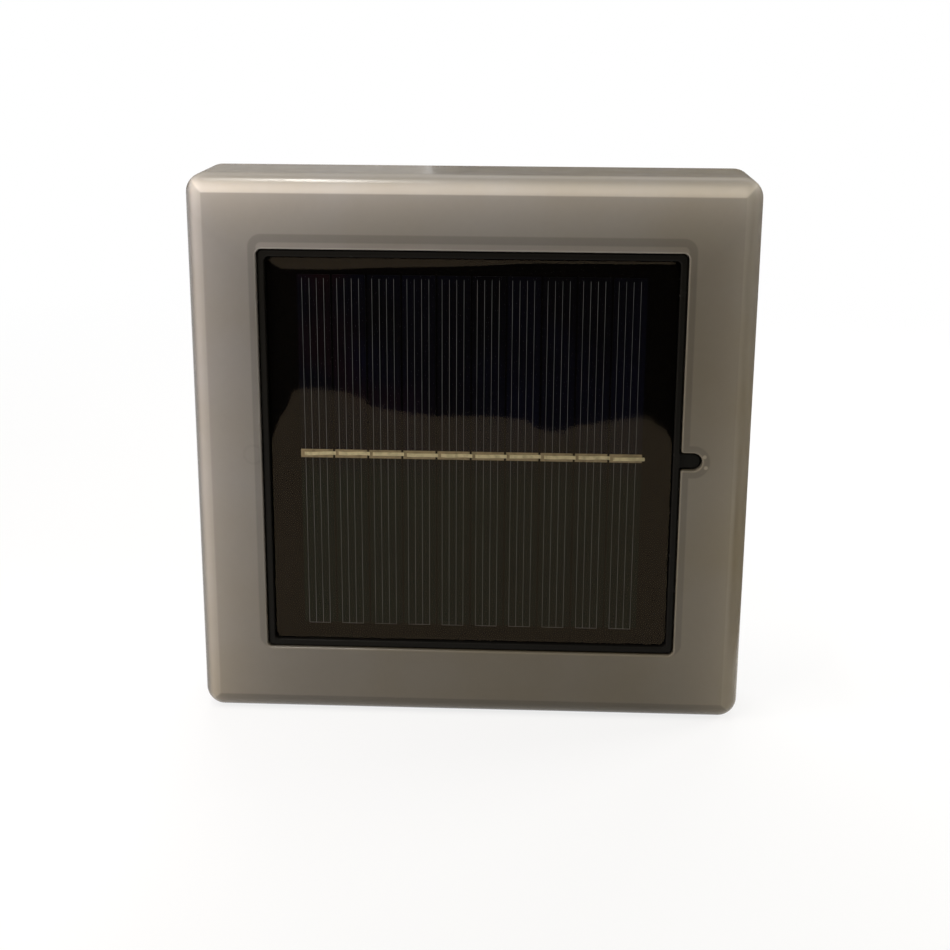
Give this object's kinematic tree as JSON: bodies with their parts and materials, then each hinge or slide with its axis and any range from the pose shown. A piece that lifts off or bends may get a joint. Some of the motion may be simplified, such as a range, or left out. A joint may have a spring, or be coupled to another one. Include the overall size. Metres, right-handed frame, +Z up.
{
  "type": "solar fence light",
  "caption": "Square solar fence light with a milky border round a black solar panel, hung on two keyholes, with a sprung push button in its back.",
  "frame": {"origin": "middle of the back face, which lies on the fence", "axes": "+Y into the fence, so the light looks along -Y; +Z up; +X to the right of someone who faces the light"},
  "size_m": [0.12, 0.022, 0.12],
  "materials": {
    "milky_polycarbonate": "milky, satin",
    "black_abs": "semi-gloss",
    "grey_abs": "fine matt texture",
    "clear_resin": "polished",
    "silicon": "polished under resin",
    "tinned_copper": "tinned",
    "dark_board": "solder mask",
    "green_board": "solder mask",
    "white_board": "white solder mask",
    "foam_tape": "matt",
    "zinc_steel": "zinc plated",
    "phosphor": "gel",
    "black_epoxy": "moulded",
    "ferrite": "matt",
    "aluminium_can": "bright",
    "white_nylon": "moulded",
    "black_silicone": "matt",
    "battery_wrap": "shrink film",
    "nickel": "nickel plated"
  },
  "bodies": {
    "housing": {"diffuser_cover": "milky_polycarbonate", "panel_tray": "black_abs", "panel_adhesive": "foam_tape", "panel_board": "dark_board", "panel_terminals": "tinned_copper", "solar_cells": "silicon", "tabbing_ribbons": "tinned_copper", "panel_resin": "clear_resin", "back_plate": "grey_abs", "plate_gasket": "black_silicone", "plate_screws": "zinc_steel", "led_ring_board": "white_board", "led_packages": "white_nylon", "led_phosphors": "phosphor", "ring_board_screws": "zinc_steel", "control_board": "green_board", "control_board_screws": "zinc_steel", "charge_chip": "black_epoxy", "inductor": "ferrite", "capacitors": "aluminium_can", "resistors": "black_epoxy", "board_sockets": "white_nylon", "push_switch": "black_abs", "button_seal": "black_silicone", "battery_cell": "battery_wrap", "battery_cradle": "black_abs", "cradle_screws": "zinc_steel", "battery_contacts": "nickel"},
    "button": {"button_cap": "black_silicone", "switch_plunger": "white_nylon"}
  },
  "joints": [
    {"name": "button_press", "type": "slide", "parent": "housing", "child": "button", "axis": [0, -1, 0], "range_m": [0, 0.0015], "stiffness_N_per_m": 700, "springref_m": -0.0008}
  ]
}
